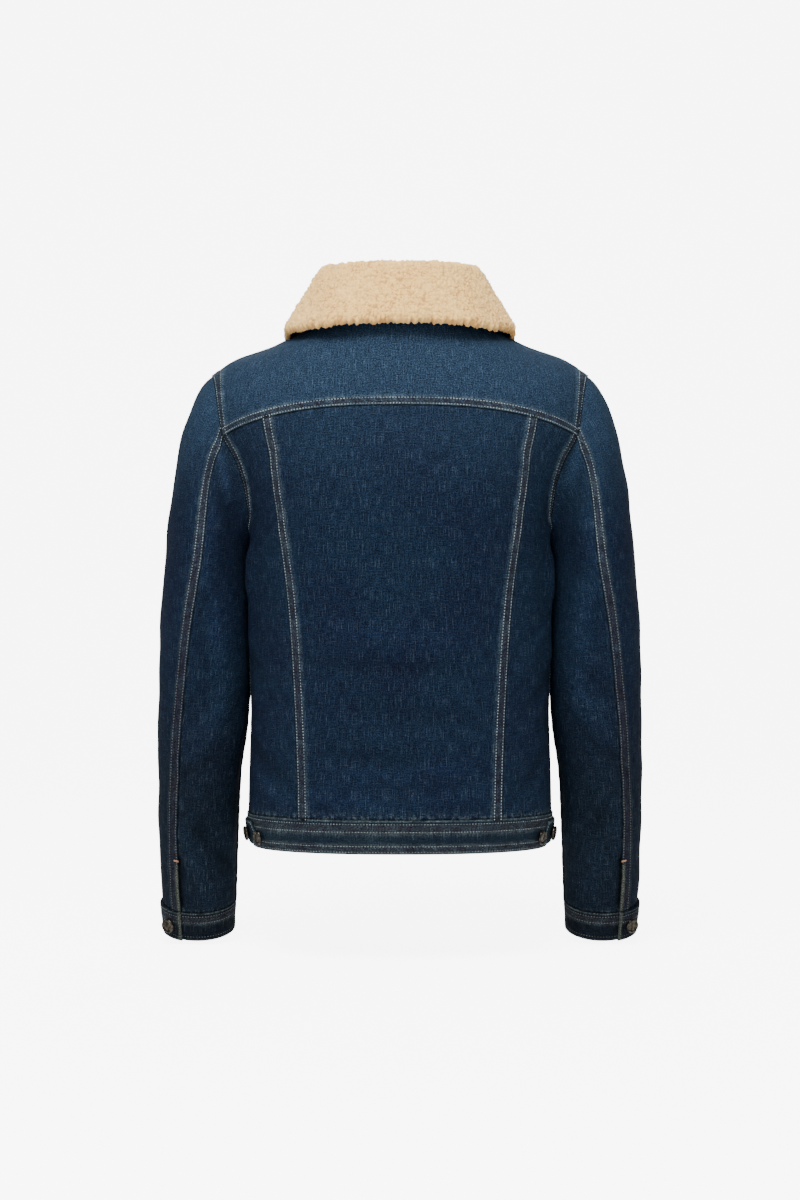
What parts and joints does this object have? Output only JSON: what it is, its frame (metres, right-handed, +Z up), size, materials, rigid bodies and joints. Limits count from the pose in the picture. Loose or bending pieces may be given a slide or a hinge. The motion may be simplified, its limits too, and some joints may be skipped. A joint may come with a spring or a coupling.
{
  "type": "denim jacket",
  "caption": "Hip-length denim jacket with a back yoke, a buttoned hem band and cuffs, and a turned-down shearling collar, filled out as when worn.",
  "frame": {"origin": "middle of the neck opening at the height of the nape seam, where the wearer's shoulders carry the jacket", "axes": "+Z up along the wearer's back, +X towards the wearer's left sleeve, +Y out of the back, so the buttoned front faces -Y"},
  "size_m": [0.571, 0.2835, 0.787],
  "materials": {
    "denim": "washed dark indigo twill, matt",
    "shearling": "cream curly pile, matt",
    "button_metal": "dark antique bronze, satin"
  },
  "bodies": {
    "root": {"back_yoke": "denim", "back_centre": "denim", "placket_under": "denim", "front_placket": "denim", "hem_band_back": "denim", "hem_band_front_left": "denim", "hem_band_front_right": "denim", "collar_under": "denim", "back_side_left": "denim", "back_side_right": "denim", "front_left": "denim", "front_right": "denim", "sleeve_under_left": "denim", "sleeve_under_right": "denim", "sleeve_upper_left": "denim", "sleeve_upper_right": "denim", "waist_tab_left": "denim", "waist_tab_right": "denim", "cuff_left": "denim", "cuff_right": "denim", "collar_shearling": "shearling", "front_button_1": "button_metal", "front_button_2": "button_metal", "front_button_3": "button_metal", "front_button_4": "button_metal", "front_button_5": "button_metal", "front_button_6": "button_metal", "tab_button_left": "button_metal", "tab_button_right": "button_metal", "band_button_left": "button_metal", "band_button_right": "button_metal", "cuff_button_left": "button_metal", "cuff_button_right": "button_metal"}
  },
  "joints": []
}
